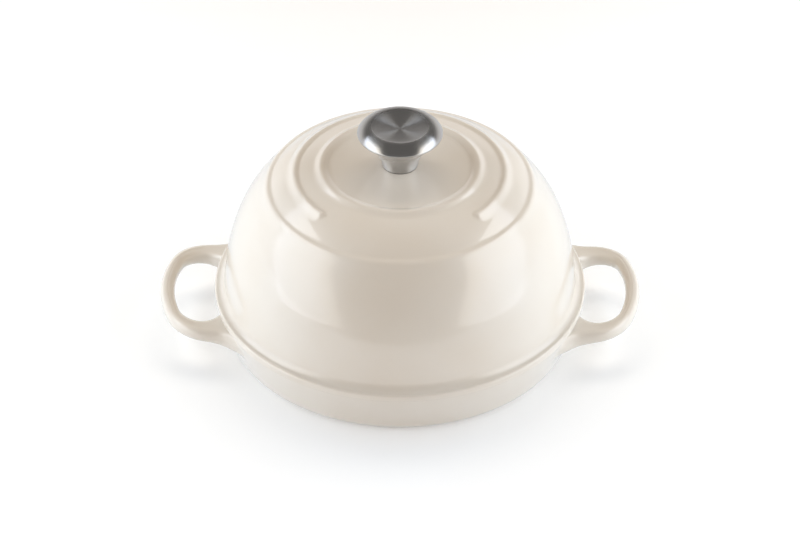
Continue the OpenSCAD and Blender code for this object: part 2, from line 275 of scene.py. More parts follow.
# %% Black enamel material
def make_black_enamel():
    material, tree, shader, coords = new_material("black_enamel")
    skin = tree.nodes.new("ShaderNodeGroup")
    skin.node_tree = skin_group
    skin.inputs["Ripple"].default_value = 0.4
    skin.inputs["Peel"].default_value = 0.6
    tree.links.new(coords, skin.inputs["Vector"])
    specks = noise(tree, coords, 2600, 0.0)
    colour = ramp(tree, specks, [(0.62, (0.018, 0.018, 0.019)), (0.72, (0.07, 0.07, 0.072))])
    tree.links.new(colour, shader.inputs["Base Color"])
    rough = tree.nodes.new("ShaderNodeMapRange")
    rough.inputs["To Min"].default_value = 0.38
    rough.inputs["To Max"].default_value = 0.5
    tree.links.new(skin.outputs["Cloud"], rough.inputs["Value"])
    tree.links.new(rough.outputs["Result"], shader.inputs["Roughness"])
    tree.links.new(bump(tree, skin.outputs["Height"], 0.4, 0.0003), shader.inputs["Normal"])
    return material


black_enamel = make_black_enamel()

# %% [markdown]
# ## Brushed stainless steel
# The knob is turned and brushed in circles. Circular scratches spread each highlight across
# themselves, which gives the fan of light and dark on the dished top. An anisotropic shader with a
# radial tangent does this, and a noise stretched round the axis adds the scratches themselves.

# %% Circular brushing group
brush_group, brush_in, brush_out = new_group(
    "circular_brushing",
    [("Vector", VECTOR, None), ("Density", FLOAT, 6000.0)],
    [("Height", FLOAT, None), ("Radius", FLOAT, None)],
)
split = brush_group.nodes.new("ShaderNodeSeparateXYZ")
brush_group.links.new(brush_in.outputs["Vector"], split.inputs[0])
x2 = math_node(brush_group, "MULTIPLY", split.outputs["X"], split.outputs["X"])
y2 = math_node(brush_group, "MULTIPLY", split.outputs["Y"], split.outputs["Y"])
away = math_node(brush_group, "SQRT", math_node(brush_group, "ADD", x2, y2), 0.0)
rings = brush_group.nodes.new("ShaderNodeCombineXYZ")
brush_group.links.new(away, rings.inputs["X"])
brush_group.links.new(split.outputs["Z"], rings.inputs["Z"])
scratches = brush_group.nodes.new("ShaderNodeTexNoise")
scratches.inputs["Detail"].default_value = 2.0
brush_group.links.new(rings.outputs[0], scratches.inputs["Vector"])
brush_group.links.new(brush_in.outputs["Density"], scratches.inputs["Scale"])
brush_group.links.new(scratches.outputs["Fac"], brush_out.inputs["Height"])
brush_group.links.new(away, brush_out.inputs["Radius"])


# %% Stainless material
DISH_EDGE = 0.014
RIM_START = 0.02
GRAIN_DEPTH = 0.06


def make_stainless(name, colour, roughness, rim_roughness, anisotropy):
    """Turned steel: its colour, its roughness inside and towards the rim, and its brushing."""
    material, tree, shader, coords = new_material(name)
    shader.inputs["Metallic"].default_value = 1.0
    shader.inputs["Anisotropic"].default_value = anisotropy
    shader.inputs["Anisotropic Rotation"].default_value = 0.25
    brushing = tree.nodes.new("ShaderNodeGroup")
    brushing.node_tree = brush_group
    tree.links.new(coords, brushing.inputs["Vector"])
    tint = ramp(
        tree,
        brushing.outputs["Height"],
        [(0.3, [c * 0.96 for c in colour]), (0.7, colour)],
    )
    tree.links.new(tint, shader.inputs["Base Color"])
    finish = tree.nodes.new("ShaderNodeMapRange")
    finish.inputs["From Min"].default_value = DISH_EDGE
    finish.inputs["From Max"].default_value = RIM_START
    finish.inputs["To Min"].default_value = roughness
    finish.inputs["To Max"].default_value = rim_roughness
    tree.links.new(brushing.outputs["Radius"], finish.inputs["Value"])
    grain = math_node(tree, "MULTIPLY", brushing.outputs["Height"], GRAIN_DEPTH)
    rough = math_node(tree, "ADD", finish.outputs["Result"], grain)
    tree.links.new(rough, shader.inputs["Roughness"])
    tangent = tree.nodes.new("ShaderNodeTangent")
    tangent.direction_type = "RADIAL"
    tangent.axis = "Z"
    tree.links.new(tangent.outputs[0], shader.inputs["Tangent"])
    tree.links.new(bump(tree, brushing.outputs["Height"], 0.05, 0.00004), shader.inputs["Normal"])
    return material


satin_steel = make_stainless("satin_steel", (0.66, 0.655, 0.65), 0.33, 0.22, 0.97)
plain_steel = make_stainless("plain_steel", (0.6, 0.59, 0.58), 0.3, 0.3, 0.2)

# %% [markdown]
# ## The domed lid
# The dome is close to a squared-off curve, steep at the side and nearly flat on top. Three raised
# rings run round the top, each with a steep inner face and a soft outer one. The middle ring stops
# on both sides of the front, where its ends fade into the dome. A spun profile gives the whole
# casting, and the middle ring is then raised by moving vertices with a formula, because only that
# ring depends on the direction round the dome.

# %% Sizes of the dome
PAN_H = 31
DOME_R = 119.85
DOME_H = 102.4
DOME_SQUARE = 4.1
DOME_RISE = 1.96
DOME_WALL = 4.4
LID_RIM_R = 126.3
FLANGE_T = 5
FLANGE_ROUND = 1.5
FLANGE_UNDER = 0.8
LIP_R = 117.5
LIP_IN_R = 113.5
LIP_DEPTH = 3.6
RING_1_R = 53.1
RING_2_R = 71.2
RING_3_R = 90
RING_H = 1.7
RING_IN_W = 4.2
RING_OUT_W = 7
RING_LEAN = 1.6
RING_GAP = 46.5
RING_END = 4.2
DISH_ROUND = 5.7
DISH_DROP = 1.6
SEAT_RISE = 0.3
STEM_R = 12.2
HOLE_R = 3.3
PAD_R = 10
PAD_H = 1
LID_STEPS = 360


# %% The bare dome and its rings
def dome_at(z, grow=0.0):
    """Radius of the bare dome at a height above the rim, grown or shrunk."""
    return (DOME_R + grow) * (1 - (z / (DOME_H + grow)) ** DOME_RISE) ** (1 / DOME_SQUARE)


def dome_z(r, grow=0.0):
    """Height of the bare dome above the rim at a radius, grown or shrunk."""
    return (DOME_H + grow) * (1 - (r / (DOME_R + grow)) ** DOME_SQUARE) ** (1 / DOME_RISE)


def ring_bump(r, crest):
    """Height that a raised ring adds at a radius."""
    if crest - RING_IN_W < r <= crest:
        return RING_H * (1 + math.cos(math.pi * (crest - r) / RING_IN_W)) / 2
    if crest < r < crest + RING_OUT_W:
        share = 1 - (r - crest) / RING_OUT_W
        return RING_H * (1 - math.cos(math.pi * share**RING_LEAN)) / 2
    return 0.0


# %% The lid's profile
def spread(start, end, count):
    """Evenly spaced values after start, up to and including end."""
    return [start + (end - start) * (i + 1) / count for i in range(count)]


def lid_profile():
    """The lid's section from the screw hole outwards over the top and back inside."""
    seat = DOME_H + SEAT_RISE
    valley_r = RING_1_R - DISH_ROUND
    crest = dome_z(RING_1_R) + RING_H
    valley = crest - DISH_DROP
    points = [(HOLE_R, seat), (STEM_R - 0.6, seat), (STEM_R, seat)]
    for r in spread(STEM_R, valley_r, 16):
        away_in = max(0.0, (valley_r - r) / (valley_r - STEM_R))
        points.append((r, valley + (seat - valley) * away_in**1.8))
    for t in spread(0, 1, 8):
        points.append((valley_r + DISH_ROUND * t, valley + DISH_DROP * math.sin(math.pi / 2 * t)))
    for r in spread(RING_1_R, RING_3_R + RING_OUT_W, 52):
        points.append((r, dome_z(r) + ring_bump(r, RING_1_R) + ring_bump(r, RING_3_R)))
    hollow = LID_RIM_R - FLANGE_ROUND - dome_at(2 * FLANGE_T)
    for z in spread(dome_z(RING_3_R + RING_OUT_W), FLANGE_T + hollow, 34):
        points.append((dome_at(z), z))
    foot = (dome_at(FLANGE_T + hollow) + hollow, FLANGE_T + hollow)
    points += arc(foot, hollow, 180, 270, 8)[1:]
    points += arc((LID_RIM_R - FLANGE_ROUND, FLANGE_T - FLANGE_ROUND), FLANGE_ROUND, 90, 0)
    points += arc((LID_RIM_R - FLANGE_UNDER, FLANGE_UNDER), FLANGE_UNDER, 0, -90)
    points += [(LIP_R, 0), (LIP_R, 0.4 - LIP_DEPTH)]
    points += [(LIP_R - 0.4, -LIP_DEPTH), (LIP_IN_R + 0.4, -LIP_DEPTH), (LIP_IN_R, 0.4 - LIP_DEPTH)]
    points += [(LIP_IN_R, 0)]
    inner_r = DOME_R - DOME_WALL
    inner_h = DOME_H - DOME_WALL
    for angle in spread(5, 88, 40):
        turn = math.radians(angle)
        points.append(
            (
                inner_r * math.cos(turn) ** (2 / DOME_SQUARE),
                inner_h * math.sin(turn) ** (2 / DOME_RISE),
            )
        )
    points += [(PAD_R + 0.5, inner_h), (PAD_R, inner_h - PAD_H), (HOLE_R, inner_h - PAD_H)]
    return [(r, z + PAN_H) for r, z in points]


# %% Raise the middle ring
def raise_open_ring(bm):
    """Lifts the outside of the dome along the middle ring, which has round ends at the front."""
    for vert in bm.verts:
        r = math.hypot(vert.co.x, vert.co.y) / MM
        if ring_bump(r, RING_2_R) == 0 or vert.co.z / MM - PAN_H < dome_z(r) - DOME_WALL / 2:
            continue
        from_front = math.atan2(abs(vert.co.x), -vert.co.y)
        past_end = max(0.0, math.radians(RING_GAP) - from_front) * r
        width = RING_IN_W if r < RING_2_R else RING_OUT_W
        across = math.hypot(r - RING_2_R, past_end * width / RING_END)
        vert.co.z += ring_bump(RING_2_R + math.copysign(across, r - RING_2_R), RING_2_R) * MM


# %% Paint the inside
def paint_inside(bm, is_inside):
    """Gives faces inside the casting the second material."""
    count = 0
    for face in bm.faces:
        centre = face.calc_center_median()
        if is_inside(math.hypot(centre.x, centre.y) / MM, centre.z / MM):
            face.material_index = 1
            count += 1
    print("faces painted as inside", count)


def inside_lid(r, z):
    up = z - PAN_H
    if up < 0.2:
        return r < LIP_R - 0.1
    return r < dome_at(min(up, DOME_H - 0.1)) - DOME_WALL / 2 and up < dome_z(r) - DOME_WALL / 2


# %% Make the lid
lid_mesh = bmesh.new()
spin_profile(lid_mesh, lid_profile(), LID_STEPS)
raise_open_ring(lid_mesh)
paint_inside(lid_mesh, inside_lid)
lid = finish_piece(
    lid_mesh, "lid_casting", "lid", "dome_lid", [cream_enamel, black_enamel]
)

# %% [markdown]
# ## The pan and its handles
# The handles are cast in one with the pan and flow out of its wall, so pan and handles are one
# mesh under a Subdivision Surface. The pan's wall is spun, four patches of it are taken away, and
# each handle is a loop of sections that is bridged into the two openings on its side.

# %% Sizes of the pan
FOOT_R = 112.3
FOOT_ROUND = 5
PAN_RIM_R = 125
PAN_WALL = 4.5
FLOOR_T = 4.5
SEAT_W = 6.5
SEAT_DEPTH = 5
RIM_ROUND = 0.8
FLOOR_ROUND = 10
FOOT_RING_R = 98
UNDER_RECESS = 1
RIB_FIRST_R = 28
RIB_PITCH = 26
RIB_COUNT = 3
RIB_H = 1.2
RIB_ROUND = 2.6
PAN_STEPS = 96
PATCH_LOW = 16.8
PATCH_HIGH = 29.3
PATCH_ROWS = 4
FLOOR_Z = UNDER_RECESS + FLOOR_T


# %% The pan's profile
def touch_angle(centre, radius, point):
    """Angle at which a line from a point touches the lower right of a circle, in degrees."""
    dx, dz = point[0] - centre[0], point[1] - centre[1]
    return math.degrees(math.atan2(dz, dx) - math.acos(radius / math.hypot(dx, dz)))


def wall_at(z):
    """Outer radius of the pan's sloping wall at a height."""
    slope = (PAN_RIM_R - FOOT_R - FOOT_ROUND) / (PAN_H - RIM_ROUND - FOOT_ROUND)
    return FOOT_R + FOOT_ROUND + slope * (z - FOOT_ROUND)


def pan_profile():
    """The pan's section from the middle of its underside round to the middle of its floor."""
    points = [(0, UNDER_RECESS), (45, UNDER_RECESS), (90, UNDER_RECESS)]
    points += [(FOOT_RING_R - UNDER_RECESS - 0.4, UNDER_RECESS), (FOOT_RING_R - 0.2, 0.2)]
    points += [(FOOT_RING_R + 0.8, 0), (FOOT_R - 3, 0)]
    corner = (FOOT_R, FOOT_ROUND)
    rim = (PAN_RIM_R, PAN_H - RIM_ROUND)
    points += arc(corner, FOOT_ROUND, -90, touch_angle(corner, FOOT_ROUND, rim), 4)
    points.append((wall_at(11), 11))
    for i in range(PATCH_ROWS + 1):
        z = PATCH_LOW + (PATCH_HIGH - PATCH_LOW) * i / PATCH_ROWS
        points.append((wall_at(z), z))
    points += arc((PAN_RIM_R - RIM_ROUND, PAN_H - RIM_ROUND), RIM_ROUND, 22, 90, 3)
    seat_in = PAN_RIM_R - SEAT_W
    points.append(((PAN_RIM_R + seat_in) / 2, PAN_H))
    points += arc((seat_in + RIM_ROUND, PAN_H - RIM_ROUND), RIM_ROUND, 90, 180, 3)
    points.append((seat_in, PAN_H - SEAT_DEPTH + 0.6))
    inner_r = wall_at(FLOOR_Z + FLOOR_ROUND) - PAN_WALL
    corner = (inner_r - FLOOR_ROUND, FLOOR_Z + FLOOR_ROUND)
    band = (seat_in, PAN_H - SEAT_DEPTH)
    points += arc(corner, FLOOR_ROUND, touch_angle(corner, FLOOR_ROUND, band), -90, 5)
    rib_angle = math.degrees(math.asin((RIB_ROUND - RIB_H) / RIB_ROUND))
    for i in reversed(range(RIB_COUNT)):
        r = RIB_FIRST_R + i * RIB_PITCH
        points.append((r + 2 * RIB_ROUND, FLOOR_Z))
        points += arc((r, FLOOR_Z + RIB_H - RIB_ROUND), RIB_ROUND, rib_angle, 180 - rib_angle, 4)
        points.append((r - 2 * RIB_ROUND, FLOOR_Z))
    points.append((0, FLOOR_Z))
    return points


# %% Take patches out of the wall
PATCH_FROM = 11.25
PATCH_TO = 30


def open_patches(bm):
    """Deletes the wall where the handles grow out and returns nothing."""
    gone = []
    for face in bm.faces:
        centre = face.calc_center_median()
        angle = math.degrees(math.atan2(abs(centre.y), abs(centre.x)))
        in_rows = PATCH_LOW < centre.z / MM < PATCH_HIGH
        outside = math.hypot(centre.x, centre.y) / MM > wall_at(centre.z / MM) - 1
        if in_rows and outside and PATCH_FROM < angle < PATCH_TO:
            gone.append(face)
    bmesh.ops.delete(bm, geom=gone, context="FACES")
    print("wall faces opened", len(gone))


# %% [markdown]
# Seen from above, the outer side and the hole of a handle are each a bowed side between two round
# corners, and a wide hollow leads each branch into the wall. Points along both sides are taken in
# pairs, from the wall out to the tip, and each pair carries one section: a rounded bar, nearly
# round at the tip and broad and flat at the wall. A subdivided surface runs a little inside its
# cage, so the cage is grown step by step until the smooth surface meets the wanted sections.

# %% Sizes of the handles
HANDLE_OUT = 38.9
HANDLE_HALF = 50.7
HANDLE_W = 9.5
HANDLE_T = 9.4
HANDLE_EDGE = 3.8
HANDLE_BOW = 87
HANDLE_CORNER = 30
HANDLE_SPLAY = 2.5
HANDLE_RISE = 7.5
HANDLE_Z = 24.2
HOLE_HALF = 36.2
HOLE_CORNER = 15.2
HOLE_TURN = 155
ROOT_R = 30
ROOT_OFF = 0.28
ROOT_LIFT = 3
LIFT_REACH = 24
ROOT_STEPS = 3
CORNER_STEPS = 5
BOW_STEPS = 4
SIDE_STEPS = PATCH_ROWS
FLAT_STEPS = round((PATCH_TO - PATCH_FROM) * PAN_STEPS / 360)


# %% Pairs of points along a handle
def bowed_side(radius, half, corner):
    """Centre of the bow, centre of the corner that ends it, and the direction where they meet."""
    bow = (PAN_RIM_R + HANDLE_OUT - HANDLE_BOW, 0)
    turn = math.asin((half - corner) / (radius - corner))
    middle = (bow[0] + (radius - corner) * math.cos(turn), half - corner)
    return bow, middle, math.degrees(turn)


def root_centre(normal, offset):
    """Centre of the hollow between the wall and the outer side of a branch, seen from above."""
    along = Vector((normal.y, -normal.x))
    q = offset + ROOT_R
    return q * normal + math.sqrt((wall_at(HANDLE_Z) + ROOT_R) ** 2 - q * q) * along


def handle_plan():
    """Pairs of points on the inner and the outer side, from the wall to the middle of the tip."""
    bow, out_corner, out_turn = bowed_side(HANDLE_BOW, HANDLE_HALF, HANDLE_CORNER)
    _, in_corner, in_turn = bowed_side(HANDLE_BOW - HANDLE_W, HOLE_HALF, HOLE_CORNER)
    branch = 90 - HANDLE_SPLAY
    normal = Vector(arc((0, 0), 1, branch, branch, 1)[0])
    root = root_centre(normal, normal.dot(Vector(out_corner)) + HANDLE_CORNER)
    at_wall = math.degrees(math.atan2(-root.y, -root.x))
    first = at_wall + (branch - 180 - at_wall) * ROOT_OFF
    outer = arc(root, ROOT_R, first, branch - 180, ROOT_STEPS)[:-1]
    outer += arc(out_corner, HANDLE_CORNER, branch, out_turn, CORNER_STEPS)[:-1]
    outer += arc(bow, HANDLE_BOW, out_turn, 0, BOW_STEPS)
    inner = arc(in_corner, HOLE_CORNER, HOLE_TURN, in_turn, ROOT_STEPS + CORNER_STEPS)[:-1]
    inner += arc(bow, HANDLE_BOW - HANDLE_W, in_turn, 0, BOW_STEPS)
    return [(Vector((*a, 0)), Vector((*b, 0))) for a, b in zip(inner, outer)]


# %% One section of a handle
def bar_section(width):
    """Points round a rounded bar: (across, up), with the vertex count of a wall patch."""
    flat = width / 2 - HANDLE_EDGE
    rise = HANDLE_T / 2 - HANDLE_EDGE
    tuck = HANDLE_EDGE * math.sqrt(0.5)
    top = [(flat + tuck, rise + tuck)]
    top += [(flat * (1 - 2 * i / (FLAT_STEPS - 2)), HANDLE_T / 2) for i in range(FLAT_STEPS - 1)]
    left = [(-flat - tuck, rise + tuck)]
    left += [(-width / 2, rise * (1 - 2 * i / (SIDE_STEPS - 2))) for i in range(SIDE_STEPS - 1)]
    half = top + left
    return half + [(-x, -z) for x, z in half]


# %% All sections of one loop
def handle_sections():
    """Sections of a flat loop, from the wall at +Y round to the wall at -Y."""
    there = handle_plan()
    mirror = Matrix.Scale(-1, 3, Vector((0, 1, 0)))
    back = [(mirror @ inner, mirror @ outer) for inner, outer in there[-2::-1]]
    sections = []
    for inner, outer in there + back:
        middle = (inner + outer) / 2
        across = (outer - inner).normalized()
        near = max(0.0, 1 - (middle.length - PAN_RIM_R) / LIFT_REACH)
        lift = 1 + ROOT_LIFT * near * near / (HANDLE_T / 2)
        bar = bar_section((outer - inner).length)
        sections.append(
            [middle + across * x + Vector((0, 0, z * lift if z > 0 else z)) for x, z in bar]
        )
    return sections


def grow_cage(wanted, rounds=12):
    """Moves a cage of rings until its subdivided surface passes through the wanted rings."""
    cage = [[point.copy() for point in ring] for ring in wanted]
    count = len(wanted[0])
    for _ in range(rounds):
        smooth = []
        for ring in cage:
            smooth.append([(ring[j - 1] + 4 * ring[j] + ring[(j + 1) % count]) / 6 for j in range(count)])
        for i in range(1, len(cage) - 1):
            for j in range(count):
                reached = (smooth[i - 1][j] + 4 * smooth[i][j] + smooth[i + 1][j]) / 6
                cage[i][j] += wanted[i][j] - reached
    return cage


# %% Build the handles
def add_handle(bm, turn):
    """Adds one loop of sections, turned half way round for the second handle."""
    pivot = Vector((PAN_RIM_R, 0, HANDLE_Z))
    rise = Matrix.Rotation(-math.radians(HANDLE_RISE), 3, "Y")
    half_turn = Matrix.Rotation(math.pi if turn < 0 else 0, 3, "Z")
    rings_made = []
    for ring in grow_cage(handle_sections()):
        placed = []
        for point in ring:
            tilted = rise @ (point - Vector((PAN_RIM_R, 0, 0))) + pivot
            placed.append(bm.verts.new(half_turn @ tilted * MM))
        rings_made.append(placed)
    loops = [[bm.edges.new(pair) for pair in zip(ring, ring[1:] + ring[:1])] for ring in rings_made]
    for first, second in zip(loops, loops[1:]):
        bmesh.ops.bridge_loops(bm, edges=first + second)
    return loops[0], loops[-1]


def patch_loop(bm, x_side, y_side):
    """The open boundary edges of one wall patch."""
    edges = []
    for edge in bm.edges:
        middle = (edge.verts[0].co + edge.verts[1].co) / 2
        if edge.is_boundary and middle.x * x_side > 0 and middle.y * y_side > 0:
            if math.hypot(middle.x, middle.y) / MM < PAN_RIM_R + 1:
                edges.append(edge)
    return edges


# %% Make the pan
pan_mesh = bmesh.new()
spin_profile(pan_mesh, pan_profile(), PAN_STEPS, closed=False)
open_patches(pan_mesh)
for side in (1, -1):
    wall_loops = {y: patch_loop(pan_mesh, side, y) for y in (1, -1)}
    start_loop, end_loop = add_handle(pan_mesh, side)
    bmesh.ops.bridge_loops(pan_mesh, edges=wall_loops[side] + start_loop)
    bmesh.ops.bridge_loops(pan_mesh, edges=wall_loops[-side] + end_loop)
bmesh.ops.recalc_face_normals(pan_mesh, faces=pan_mesh.faces[:])
print("open edges left on the pan", sum(e.is_boundary for e in pan_mesh.edges))


def inside_pan(r, z):
    seat_in = PAN_RIM_R - SEAT_W
    return z > FLOOR_Z - 0.5 and r < min(seat_in + 0.1, wall_at(z) - PAN_WALL / 2)


paint_inside(pan_mesh, inside_pan)
pan = finish_piece(
    pan_mesh, "pan_casting", "pan", "base_pan", [cream_enamel, black_enamel]
)
smooth = pan.modifiers.new("smooth", "SUBSURF")
smooth.levels = 2
smooth.render_levels = 2

# %% [markdown]
# ## The knob
# The cap is a pressed disc with a dished top and a rolled edge, and the stem flares up to meet it
# like a trumpet. Both are spun finely, because the knob's bright reflections show every facet.

# %% Sizes of the knob
KNOB_R = 28.5
KNOB_H = 31
CREST_R = 20.1
CAP_DROP = 5.2
DISH_DEPTH = 2.1
CAP_T = 0.8
CAP_EDGE = 0.7
STEM_FLARE = 1.8
STEM_WALL = 1.6
STEM_FOOT_T = 2
STEM_STEP = 0.4
STEM_EDGE_T = 0.6
WASHER_T = 0.5
BULGE = math.radians(30)
KNOB_STEPS = 192
SEAT_Z = PAN_H + DOME_H + SEAT_RISE
STEM_Z = SEAT_Z + WASHER_T
CREST_Z = SEAT_Z + KNOB_H
FLANGE_TOP_Z = CREST_Z - CAP_DROP - CAP_EDGE


# %% Profiles of the cap and the stem
def cap_side(down, rim_r):
    """The dish and the shoulder of the cap, lowered to draw the inside of the sheet."""
    dx = rim_r - CREST_R
    drop = CAP_DROP - down
    slope = math.atan2(drop, dx)
    radius = math.hypot(dx, drop) / (2 * math.sin(BULGE))
    points = []
    for r in [CREST_R * i / 20 for i in range(20)]:
        points.append((r, CREST_Z - down - DISH_DEPTH * (1 - (r / CREST_R) ** 2)))
    for i in range(17):
        a = slope - BULGE + 2 * BULGE * i / 16
        r = CREST_R + radius * (math.sin(a) - math.sin(slope - BULGE))
        points.append((r, CREST_Z - down - radius * (math.cos(slope - BULGE) - math.cos(a))))
    return points


def stem_side(grow, low_z):
    """The trumpet outline of the stem between two heights."""
    top = FLANGE_TOP_Z - STEM_EDGE_T
    points = []
    for i in range(29):
        z = low_z + (top - low_z) * i / 28
        t = (z - STEM_Z) / (top - STEM_Z)
        points.append((STEM_R + (KNOB_R - STEM_STEP - STEM_R) * t**STEM_FLARE + grow, z))
    return points


# %% Make the cap and the stem
cap_profile = cap_side(0, KNOB_R)
cap_profile += [(KNOB_R, FLANGE_TOP_Z + 0.15), (KNOB_R - 0.15, FLANGE_TOP_Z)]
cap_profile += [(KNOB_R - 2 * CAP_T, FLANGE_TOP_Z)]
cap_profile += cap_side(CAP_T, KNOB_R - 2 * CAP_T)[::-1]
cap_mesh = bmesh.new()
spin_profile(cap_mesh, cap_profile, KNOB_STEPS, closed=False)
cap = finish_piece(cap_mesh, "knob_top", "lid", "knob_cap", [satin_steel])

stem_profile = [(HOLE_R, STEM_Z), (STEM_R - 0.2, STEM_Z)] + stem_side(0, STEM_Z)[1:]
stem_profile += [(KNOB_R - STEM_STEP, FLANGE_TOP_Z), (KNOB_R - STEM_STEP - STEM_WALL, FLANGE_TOP_Z)]
stem_profile += stem_side(-STEM_WALL, STEM_Z + STEM_FOOT_T)[::-1]
stem_profile += [(HOLE_R, STEM_Z + STEM_FOOT_T)]
stem_mesh = bmesh.new()
spin_profile(stem_mesh, stem_profile, KNOB_STEPS)
stem = finish_piece(stem_mesh, "knob_trumpet", "lid", "knob_stem", [satin_steel])

# %% [markdown]
# ## Screw and washers
# These solids already have their true shape, so they stay and only get a finish. The washer under
# the stem is a dark heat-proof ring, and its near-black colour also paints the shade of the gap at the
# stem's foot, which shows as a thin dark line.


# %% Finish the small parts
def make_washer_shade_material():
    material, tree, shader, coords = new_material("dark_washer")
    grain = noise(tree, coords, 1500, 3.0)
    # Near-black colour: partly the washer's own dark fibre, partly painted shade for the gap under the
    # stem.
    tree.links.new(
        ramp(tree, grain, [(0.3, (0.02, 0.02, 0.022)), (0.7, (0.05, 0.05, 0.052))]),
        shader.inputs["Base Color"],
    )
    shader.inputs["Roughness"].default_value = 0.6
    return material


def dress(node, material):
    """Puts a material on a solid that stays."""
    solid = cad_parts[node]
    solid.data.materials.clear()
    solid.data.materials.append(material)


dress("knob_base_washer", make_washer_shade_material())
for small in ("knob_threaded_boss", "knob_screw", "spring_washer"):
    dress(small, plain_steel)

# %% [markdown]
# ## Floor, backdrop and light
# The cloche stands on a white sweep. To the camera the floor and the world are white, and the
# floor keeps the contact shadow. What the glaze and the steel mirror is set apart from that: a
# white table that gets darker in front of the cloche, a pale backdrop low behind it, and a dark
# room everywhere else. A slanted bright panel stands at each side and grows brighter upwards. It
# leaves the front of the dome darker and ends in a soft edge there, as in the photograph. Far from
# the cloche the floor turns plain white.

# %% Floor
FLOOR_SIZE = 30
FLOOR_GLOW = 0.15
FLOOR_NEAR = 0.4
FLOOR_FAR = 0.8
TABLE_FRONT = -0.5
TABLE_FADE = 0.08
LIT_TABLE = (0.82, 0.84, 0.86)
DIM_TABLE = (0.2, 0.2, 0.2)


def fade(tree, value, start, end, kind="SMOOTHSTEP"):
    """A change from 0 to 1 while a value goes from start to end."""
    node = tree.nodes.new("ShaderNodeMapRange")
    node.interpolation_type = kind
    node.inputs["From Min"].default_value = start
    node.inputs["From Max"].default_value = end
    tree.links.new(value, node.inputs["Value"])
    return node.outputs["Result"]


def separate(tree, vector):
    """The three parts of a vector as sockets by name."""
    node = tree.nodes.new("ShaderNodeSeparateXYZ")
    tree.links.new(vector, node.inputs[0])
    return node.outputs


def choose(tree, ray, otherwise, chosen):
    """One shader for a kind of ray and another for the rest."""
    paths = tree.nodes.new("ShaderNodeLightPath")
    mixed = tree.nodes.new("ShaderNodeMixShader")
    tree.links.new(paths.outputs[ray], mixed.inputs["Fac"])
    tree.links.new(otherwise, mixed.inputs[1])
    tree.links.new(chosen, mixed.inputs[2])
    return mixed.outputs[0]


def make_floor():
    bm = bmesh.new()
    bmesh.ops.create_grid(bm, x_segments=2, y_segments=2, size=FLOOR_SIZE / 2)
    mesh = bpy.data.meshes.new("floor")
    bm.to_mesh(mesh)
    bm.free()
    floor = bpy.data.objects.new("floor", mesh)
    bpy.context.scene.collection.objects.link(floor)
    material, tree, shader, coords = new_material("white_floor")
    shader.inputs["Base Color"].default_value = (0.85, 0.86, 0.87, 1)
    shader.inputs["Roughness"].default_value = 1.0
    shader.inputs["Specular IOR Level"].default_value = 0.0
    glow = tree.nodes.new("ShaderNodeEmission")
    glow.inputs["Strength"].default_value = FLOOR_GLOW
    shown = tree.nodes.new("ShaderNodeAddShader")
    tree.links.new(shader.outputs[0], shown.inputs[0])
    tree.links.new(glow.outputs[0], shown.inputs[1])
    front, back = TABLE_FRONT - TABLE_FADE / 2, TABLE_FRONT + TABLE_FADE / 2
    on_table = fade(tree, separate(tree, coords)["Y"], front, back)
    mirrored = tree.nodes.new("ShaderNodeEmission")
    tree.links.new(ramp(tree, on_table, [(0, DIM_TABLE), (1, LIT_TABLE)]), mirrored.inputs["Color"])
    away = tree.nodes.new("ShaderNodeVectorMath")
    away.operation = "LENGTH"
    tree.links.new(coords, away.inputs[0])
    plain_white = tree.nodes.new("ShaderNodeEmission")
    sweep = tree.nodes.new("ShaderNodeMixShader")
    far = fade(tree, away.outputs["Value"], FLOOR_NEAR, FLOOR_FAR)
    tree.links.new(far, sweep.inputs["Fac"])
    tree.links.new(shown.outputs[0], sweep.inputs[1])
    tree.links.new(plain_white.outputs[0], sweep.inputs[2])
    to_camera = choose(tree, "Is Camera Ray", shader.outputs[0], sweep.outputs[0])
    surface = choose(tree, "Is Glossy Ray", to_camera, mirrored.outputs[0])
    tree.links.new(surface, tree.nodes["Material Output"].inputs["Surface"])
    mesh.materials.append(material)
    return floor


floor = make_floor()

# %% World
BACKDROP = (0.78, 0.75, 0.73)
DARK_ROOM = (0.14, 0.135, 0.13)
WARM_FILL = (0.42, 0.29, 0.17)
DARK_CEILING = (0, 0, 0)
FILL_GLOW = 1.0


def make_world():
    """White to the camera, a dark room with a low pale backdrop in reflections, a warm fill."""
    world = bpy.data.worlds.new("studio")
    bpy.context.scene.world = world
    world.use_nodes = True
    tree = world.node_tree
    fill = tree.nodes["Background"]
    fill.inputs["Strength"].default_value = FILL_GLOW
    parts = separate(tree, tree.nodes.new("ShaderNodeTexCoord").outputs["Generated"])
    tree.links.new(ramp(tree, parts["Z"], [(0.75, WARM_FILL), (0.95, DARK_CEILING)]), fill.inputs["Color"])
    behind = fade(tree, parts["Y"], -0.1, 0.3)
    low = fade(tree, parts["Z"], 0.5, 0.25)
    mirrored = tree.nodes.new("ShaderNodeBackground")
    backdrop = ramp(tree, math_node(tree, "MULTIPLY", behind, low), [(0, DARK_ROOM), (1, BACKDROP)])
    tree.links.new(backdrop, mirrored.inputs["Color"])
    white = tree.nodes.new("ShaderNodeBackground")
    white.inputs["Color"].default_value = (1, 1, 1, 1)
    to_camera = choose(tree, "Is Camera Ray", fill.outputs[0], white.outputs[0])
    surface = choose(tree, "Is Glossy Ray", to_camera, mirrored.outputs[0])
    tree.links.new(surface, tree.nodes["World Output"].inputs["Surface"])


make_world()

